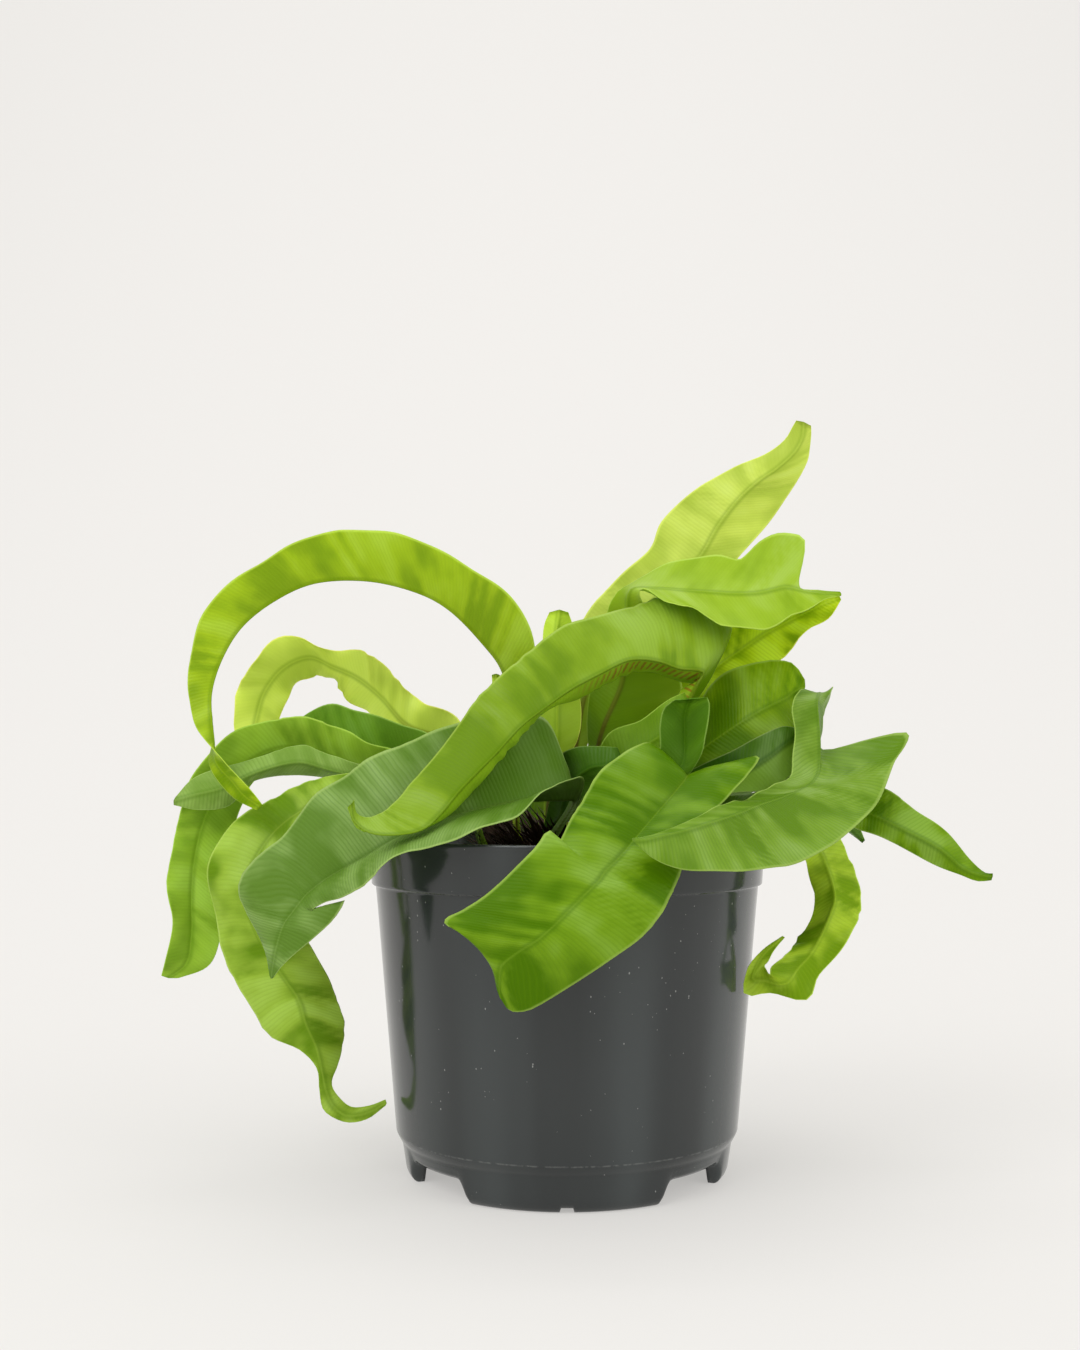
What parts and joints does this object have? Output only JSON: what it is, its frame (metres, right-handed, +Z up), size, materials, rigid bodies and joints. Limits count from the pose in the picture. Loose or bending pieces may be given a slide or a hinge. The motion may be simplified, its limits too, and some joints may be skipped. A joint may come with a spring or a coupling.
{
  "type": "potted birds nest fern",
  "caption": "House plant with long waved and twisted strap fronds that arch out of a dark tapered nursery pot.",
  "frame": {"origin": "on the ground, on the pot's vertical axis, which is also the middle of the plan of the whole plant", "axes": "+Z up, +X to the right and -Y to the front of the plant"},
  "size_m": [0.327, 0.208, 0.302],
  "materials": {
    "pot_plastic": "dark grey moulded polypropylene with a soft satin gloss",
    "potting_soil": "dark moist potting soil, no shine",
    "crown_scales": "dark brown scaly rhizome, dull",
    "leaf_yellow_green": "waxy living leaf, yellow green, thin and translucent",
    "leaf_light_green": "waxy living leaf, light green, thin and translucent",
    "leaf_mid_green": "waxy living leaf, mid green, thin and translucent",
    "leaf_dark_green": "waxy living leaf, dark bluish green, thin and translucent"
  },
  "bodies": {
    "root": {"pot": "pot_plastic", "soil": "potting_soil", "crown": "crown_scales", "frond_arch_left": "leaf_yellow_green", "frond_arch_behind": "leaf_light_green", "frond_dark_behind": "leaf_dark_green", "frond_hanging_left": "leaf_mid_green", "frond_tip_left": "leaf_dark_green", "frond_long_hanging": "leaf_light_green", "frond_broad_front_left": "leaf_dark_green", "frond_central_ribbon": "leaf_mid_green", "frond_bright_front": "leaf_mid_green", "frond_large_right": "leaf_mid_green", "frond_upper_right": "leaf_light_green", "frond_upper_right_low": "leaf_yellow_green", "frond_right_centre": "leaf_mid_green", "frond_tall": "leaf_light_green", "frond_young_curl": "leaf_light_green", "frond_young_tip": "leaf_light_green", "frond_inner_right": "leaf_mid_green", "frond_far_right": "leaf_mid_green", "frond_curly_right": "leaf_mid_green", "frond_centre_dark": "leaf_dark_green", "frond_inner_mid": "leaf_mid_green", "frond_inner_tongue": "leaf_dark_green", "frond_back_a": "leaf_mid_green", "frond_back_b": "leaf_light_green", "frond_back_c": "leaf_mid_green", "frond_back_d": "leaf_mid_green", "frond_back_right": "leaf_mid_green"}
  },
  "joints": []
}
